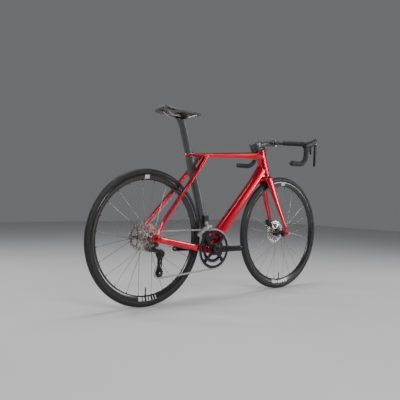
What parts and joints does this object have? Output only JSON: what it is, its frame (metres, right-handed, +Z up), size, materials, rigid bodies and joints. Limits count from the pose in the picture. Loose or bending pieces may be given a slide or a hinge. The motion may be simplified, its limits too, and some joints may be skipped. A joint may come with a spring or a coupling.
{
  "type": "road bicycle",
  "caption": "Road bicycle with drop bar, disc brakes, sloping aero frame, dropped seatstays, two-speed crankset without pedals and wide-range cassette.",
  "frame": {"origin": "on the ground, midway between the two tyres' contact points", "axes": "+X forward, +Y to the rider's left, +Z up"},
  "size_m": [1.6639, 0.4568, 1],
  "materials": {
    "red_frame": "glossy candy red paint over carbon",
    "grey_carbon": "satin anthracite paint over carbon",
    "black_metal": "satin black anodised alloy",
    "steel_bearing": "satin steel",
    "tyre_rubber": "fine file tread",
    "rim_carbon": "smooth black carbon",
    "spoke_steel": "bright steel",
    "cassette_steel": "nickel-plated steel",
    "crank_alloy": "dark grey anodised",
    "black_plastic": "moulded black composite",
    "silver_cage": "bright alloy",
    "pad_compound": "sintered compound on a steel backing",
    "grip_rubber": "perforated black tape and ribbed hood",
    "saddle_cover": "smooth black synthetic cover"
  },
  "bodies": {
    "frame": {"head_tube": "red_frame", "top_tube": "red_frame", "down_tube": "red_frame", "seat_tube": "grey_carbon", "bottom_bracket_shell": "red_frame", "chainstays": "red_frame", "seatstays": "red_frame", "bottle_cage_bosses": "black_metal", "seatpost_wedge": "black_metal", "frame_bearings": "steel_bearing", "rear_brake_caliper": "black_metal", "rear_thru_axle": "black_metal", "front_derailleur_body": "black_plastic", "rear_derailleur_body": "black_plastic", "chain": "cassette_steel"},
    "seatpost": {"seatpost": "grey_carbon"},
    "saddle_clamp": {"saddle_clamp": "black_metal"},
    "saddle": {"saddle": "saddle_cover", "saddle_rails": "steel_bearing"},
    "front_end": {"fork": "red_frame", "headset_cover": "black_metal", "stem": "black_metal", "stem_faceplate": "black_metal", "handlebar": "black_metal", "bar_tape": "grip_rubber", "bar_end_plugs": "silver_cage", "front_brake_caliper": "black_metal", "front_thru_axle": "black_metal", "hood_left": "grip_rubber", "hood_right": "grip_rubber"},
    "brake_lever_left": {"brake_lever_left": "black_plastic"},
    "brake_lever_right": {"brake_lever_right": "black_plastic"},
    "upshift_paddle_left": {"upshift_paddle_left": "black_plastic"},
    "upshift_paddle_right": {"upshift_paddle_right": "black_plastic"},
    "downshift_paddle_left": {"downshift_paddle_left": "black_plastic"},
    "downshift_paddle_right": {"downshift_paddle_right": "black_plastic"},
    "front_pad_left": {"front_pad_left": "pad_compound"},
    "front_pad_right": {"front_pad_right": "pad_compound"},
    "rear_pad_left": {"rear_pad_left": "pad_compound"},
    "rear_pad_right": {"rear_pad_right": "pad_compound"},
    "front_wheel": {"front_tyre": "tyre_rubber", "front_rim": "rim_carbon", "front_spokes": "spoke_steel", "front_hub": "black_metal", "front_rotor": "spoke_steel"},
    "rear_wheel": {"rear_tyre": "tyre_rubber", "rear_rim": "rim_carbon", "rear_spokes": "spoke_steel", "rear_hub": "black_metal", "rear_rotor": "spoke_steel"},
    "cassette": {"cassette": "cassette_steel"},
    "crankset": {"crank_right": "crank_alloy", "crank_left": "crank_alloy", "chainrings": "crank_alloy"},
    "front_derailleur_cage": {"front_derailleur_cage": "silver_cage"},
    "rear_derailleur_link": {"rear_derailleur_link": "black_plastic"},
    "rear_derailleur_knuckle": {"rear_derailleur_knuckle": "black_plastic"},
    "rear_derailleur_cage": {"rear_derailleur_cage": "black_plastic"},
    "guide_pulley": {"guide_pulley": "black_plastic"},
    "tension_pulley": {"tension_pulley": "black_plastic"}
  },
  "joints": [
    {"name": "steering", "type": "hinge", "parent": "frame", "child": "front_end", "pos_m": [0.45188, 0, 0.32643], "axis": [-0.2924, 0, 0.9563], "range_deg": [-65, 65]},
    {"name": "front_wheel_spin", "type": "hinge", "parent": "front_end", "child": "front_wheel", "pos_m": [0.493, 0, 0.339], "axis": [0, 1, 0], "continuous": true},
    {"name": "rear_wheel_spin", "type": "hinge", "parent": "frame", "child": "rear_wheel", "pos_m": [-0.493, 0, 0.339], "axis": [0, 1, 0], "continuous": true},
    {"name": "crank_spin", "type": "hinge", "parent": "frame", "child": "crankset", "pos_m": [-0.089, 0, 0.269], "axis": [0, 1, 0], "continuous": true, "deforming": ["chain"]},
    {"name": "cassette_spin", "type": "hinge", "parent": "frame", "child": "cassette", "pos_m": [-0.493, 0, 0.339], "axis": [0, 1, 0], "continuous": true, "deforming": ["chain"]},
    {"name": "rear_derailleur_shift", "type": "hinge", "parent": "frame", "child": "rear_derailleur_link", "pos_m": [-0.48937, -0.05956, 0.28561], "axis": [0.5, 0.4717, 0.7263], "range_deg": [-23, 30], "deforming": ["chain"]},
    {"name": "rear_derailleur_follow", "type": "hinge", "parent": "rear_derailleur_link", "child": "rear_derailleur_knuckle", "pos_m": [-0.453, -0.071, 0.268], "axis": [0.5, 0.4717, 0.7263], "range_deg": [-30, 23], "deforming": ["chain"]},
    {"name": "cage_swing", "type": "hinge", "parent": "rear_derailleur_knuckle", "child": "rear_derailleur_cage", "pos_m": [-0.451, -0.056, 0.253], "axis": [0, 1, 0], "range_deg": [-35, 20], "stiffness_Nm_per_rad": 0.8, "deforming": ["chain"]},
    {"name": "guide_pulley_spin", "type": "hinge", "parent": "rear_derailleur_cage", "child": "guide_pulley", "pos_m": [-0.444, -0.0468, 0.262], "axis": [0, 1, 0], "continuous": true, "deforming": ["chain"]},
    {"name": "tension_pulley_spin", "type": "hinge", "parent": "rear_derailleur_cage", "child": "tension_pulley", "pos_m": [-0.449, -0.0468, 0.1689], "axis": [0, 1, 0], "continuous": true, "deforming": ["chain"]},
    {"name": "front_derailleur_shift", "type": "slide", "parent": "frame", "child": "front_derailleur_cage", "axis": [0, 1, 0], "range_m": [0, 0.006], "deforming": ["chain"]},
    {"name": "seatpost_height", "type": "slide", "parent": "frame", "child": "seatpost", "axis": [-0.294, 0, 0.9558], "range_m": [-0.06, 0.03]},
    {"name": "saddle_tilt", "type": "hinge", "parent": "seatpost", "child": "saddle_clamp", "pos_m": [-0.29895, 0, 0.95144], "axis": [0, 1, 0], "range_deg": [-8, 8]},
    {"name": "saddle_fore_aft", "type": "slide", "parent": "saddle_clamp", "child": "saddle", "axis": [1, 0, 0], "range_m": [-0.008, 0.02]},
    {"name": "brake_lever_pull_left", "type": "hinge", "parent": "front_end", "child": "brake_lever_left", "pos_m": [0.556, 0.2, 0.876], "axis": [0, 1, 0], "range_deg": [0, 17], "stiffness_Nm_per_rad": 1.2, "springref_deg": -8.59},
    {"name": "upshift_left", "type": "hinge", "parent": "brake_lever_left", "child": "upshift_paddle_left", "pos_m": [0.546, 0.183, 0.866], "axis": [1, 0, 0], "range_deg": [-9, 0], "stiffness_Nm_per_rad": 0.3, "springref_deg": 5.73},
    {"name": "downshift_left", "type": "hinge", "parent": "brake_lever_left", "child": "downshift_paddle_left", "pos_m": [0.533, 0.183, 0.866], "axis": [1, 0, 0], "range_deg": [-9, 0], "stiffness_Nm_per_rad": 0.3, "springref_deg": 5.73},
    {"name": "front_pad_left_squeeze", "type": "slide", "parent": "front_end", "child": "front_pad_left", "axis": [0, -1, 0], "range_m": [0, 0.00045]},
    {"name": "front_pad_right_squeeze", "type": "slide", "parent": "front_end", "child": "front_pad_right", "axis": [0, 1, 0], "range_m": [0, 0.00045]},
    {"name": "brake_lever_pull_right", "type": "hinge", "parent": "front_end", "child": "brake_lever_right", "pos_m": [0.556, -0.2, 0.876], "axis": [0, 1, 0], "range_deg": [0, 17], "stiffness_Nm_per_rad": 1.2, "springref_deg": -8.59},
    {"name": "upshift_right", "type": "hinge", "parent": "brake_lever_right", "child": "upshift_paddle_right", "pos_m": [0.546, -0.183, 0.866], "axis": [1, 0, 0], "range_deg": [0, 9], "stiffness_Nm_per_rad": 0.3, "springref_deg": -5.73},
    {"name": "downshift_right", "type": "hinge", "parent": "brake_lever_right", "child": "downshift_paddle_right", "pos_m": [0.533, -0.183, 0.866], "axis": [1, 0, 0], "range_deg": [0, 9], "stiffness_Nm_per_rad": 0.3, "springref_deg": -5.73},
    {"name": "rear_pad_left_squeeze", "type": "slide", "parent": "frame", "child": "rear_pad_left", "axis": [0, -1, 0], "range_m": [0, 0.00045]},
    {"name": "rear_pad_right_squeeze", "type": "slide", "parent": "frame", "child": "rear_pad_right", "axis": [0, 1, 0], "range_m": [0, 0.00045]}
  ],
  "couplings": [
    {"joint": "cassette_spin", "follows": "crank_spin", "ratio": 3.0588},
    {"joint": "guide_pulley_spin", "follows": "crank_spin", "ratio": -4},
    {"joint": "tension_pulley_spin", "follows": "crank_spin", "ratio": 4},
    {"joint": "rear_derailleur_follow", "follows": "rear_derailleur_shift", "ratio": -1},
    {"joint": "front_pad_left_squeeze", "follows": "brake_lever_pull_left", "m_per_rad": 0.0015151},
    {"joint": "front_pad_right_squeeze", "follows": "brake_lever_pull_left", "m_per_rad": 0.0015151},
    {"joint": "rear_pad_left_squeeze", "follows": "brake_lever_pull_right", "m_per_rad": 0.0015151},
    {"joint": "rear_pad_right_squeeze", "follows": "brake_lever_pull_right", "m_per_rad": 0.0015151}
  ]
}
